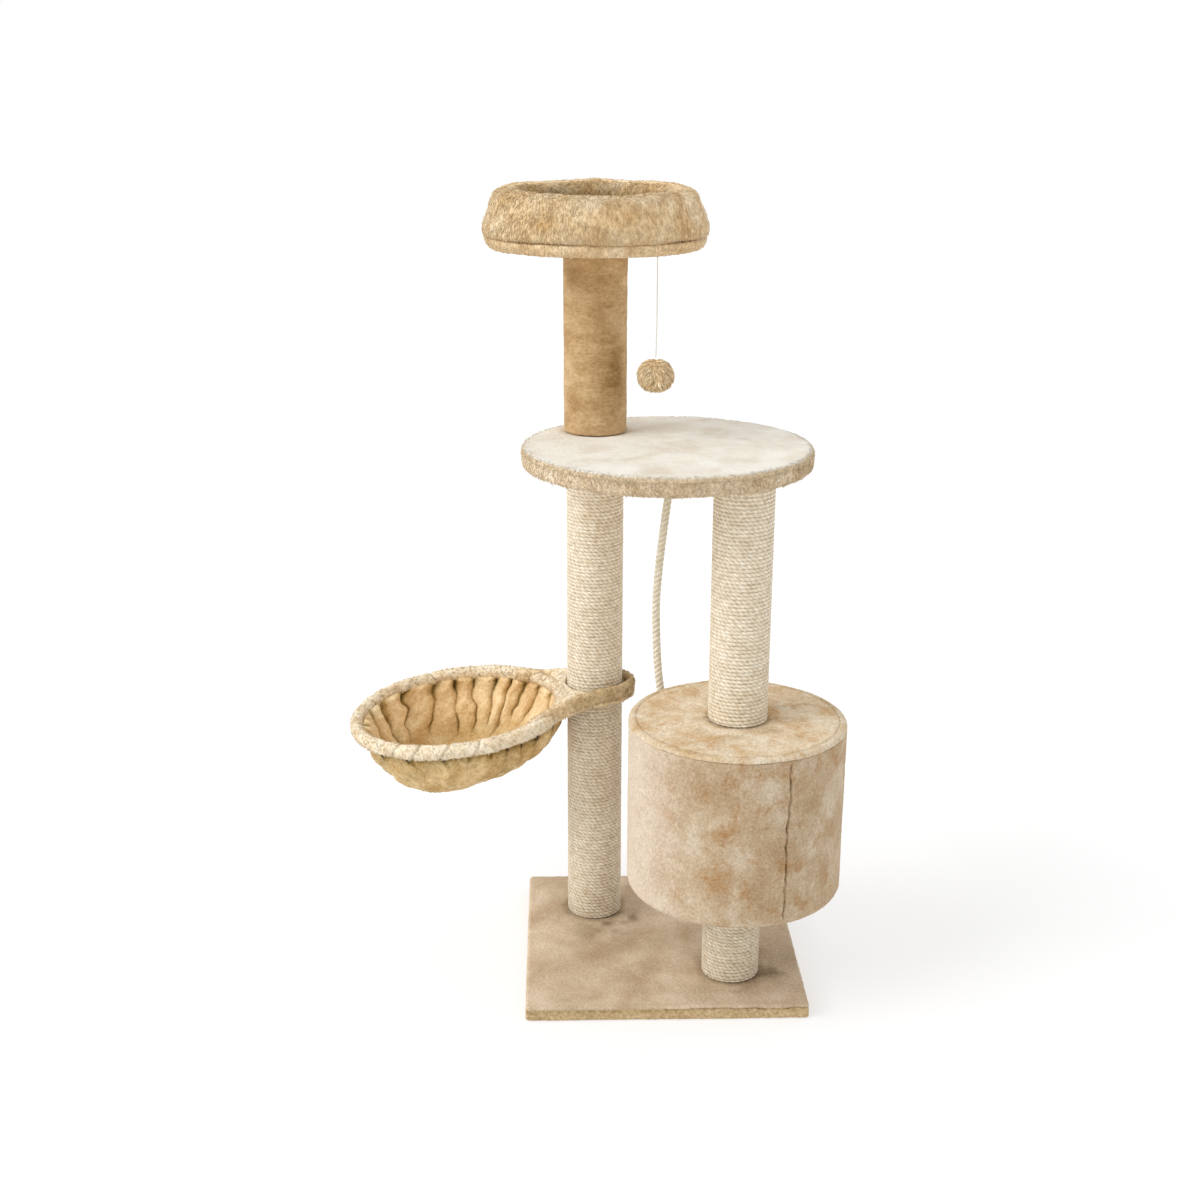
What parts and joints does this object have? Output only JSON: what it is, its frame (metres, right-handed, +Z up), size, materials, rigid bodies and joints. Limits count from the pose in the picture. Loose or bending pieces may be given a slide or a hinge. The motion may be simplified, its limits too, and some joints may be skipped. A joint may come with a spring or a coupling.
{
  "type": "cat tree",
  "caption": "Plush cat tree on a square base with sisal posts, a drum house, a round platform, a wire-framed hammock, a ring bed, a pompom and a play rope.",
  "frame": {"origin": "centre of the base's underside, on the floor", "axes": "+Z up, +X to the right seen from the front, +Y from the front to the back; the tall post is at -X +Y and the drum house at +X -Y"},
  "size_m": [0.7122, 0.504, 1.127],
  "materials": {
    "tan_plush": "short brushed pile",
    "cream_plush": "short brushed pile",
    "orange_tan_plush": "short soft pile",
    "dark_tan_plush": "short smooth pile",
    "sisal": "wound and twisted natural fibre",
    "white_thread": "thin twisted thread",
    "cardboard": "plain wound tube",
    "chipboard": "plain board",
    "zinc_steel": "zinc plated"
  },
  "bodies": {
    "stand": {"base_board": "chipboard", "base_cover": "tan_plush", "base_bolt_left": "zinc_steel", "base_bolt_right": "zinc_steel", "left_post_core": "cardboard", "left_post_sisal": "sisal", "left_post_plug_bottom": "chipboard", "left_post_plug_top": "chipboard", "short_post_core": "cardboard", "short_post_sisal": "sisal", "short_post_plug_bottom": "chipboard", "short_post_plug_top": "chipboard", "right_post_core": "cardboard", "right_post_sisal": "sisal", "right_post_plug_bottom": "chipboard", "right_post_plug_top": "chipboard", "upper_post_core": "cardboard", "upper_post_cover": "dark_tan_plush", "upper_post_plug_bottom": "chipboard", "upper_post_plug_top": "chipboard", "platform_board": "chipboard", "platform_edge_cover": "tan_plush", "platform_top_cover": "cream_plush", "platform_bolt": "zinc_steel", "post_stud": "zinc_steel", "drum_bottom_cover": "tan_plush", "drum_floor_board": "chipboard", "drum_roof_board": "chipboard", "drum_floor_pad": "orange_tan_plush", "drum_wall": "cardboard", "drum_side_cover": "tan_plush", "drum_top_cover": "tan_plush", "drum_floor_bolt": "zinc_steel", "drum_roof_bolt": "zinc_steel", "bed_board": "chipboard", "bed_base_cover": "tan_plush", "bed_bolster": "tan_plush", "bed_cushion": "orange_tan_plush", "bed_bolt": "zinc_steel"},
    "hammock_clamp": {"hammock_hoop": "zinc_steel"},
    "hammock": {"hammock_ring": "zinc_steel", "hammock_rim_sleeve": "tan_plush", "hammock_bag": "orange_tan_plush", "hammock_loop_sleeve": "tan_plush"},
    "pompom_knot": {"pompom_knot": "white_thread"},
    "pompom": {"pompom_string": "white_thread", "pompom": "tan_plush"},
    "rope_knot": {"play_rope_top_knot": "sisal"},
    "rope": {"play_rope": "sisal", "play_rope_knot": "sisal"}
  },
  "joints": [
    {"name": "hammock_slide", "type": "slide", "parent": "stand", "child": "hammock_clamp", "axis": [0, 0, 1], "range_m": [-0.2, 0.33]},
    {"name": "hammock_swivel", "type": "hinge", "parent": "hammock_clamp", "child": "hammock", "pos_m": [-0.0975, 0.0975, 0.393], "axis": [0, 0, 1], "range_deg": [-135, 35]},
    {"name": "pompom_sway", "type": "hinge", "parent": "stand", "child": "pompom_knot", "pos_m": [-0.0165, 0.01, 1.0392], "axis": [0, -1, 0], "range_deg": [-40, 40]},
    {"name": "pompom_swing", "type": "hinge", "parent": "pompom_knot", "child": "pompom", "pos_m": [-0.0165, 0.01, 1.0392], "axis": [1, 0, 0], "range_deg": [-40, 40]},
    {"name": "rope_sway", "type": "hinge", "parent": "stand", "child": "rope_knot", "pos_m": [0.0096, 0.04, 0.7482], "axis": [0, -1, 0], "range_deg": [-10, 0]},
    {"name": "rope_swing", "type": "hinge", "parent": "rope_knot", "child": "rope", "pos_m": [0.0096, 0.04, 0.7482], "axis": [1, 0, 0], "range_deg": [0, 60]}
  ]
}
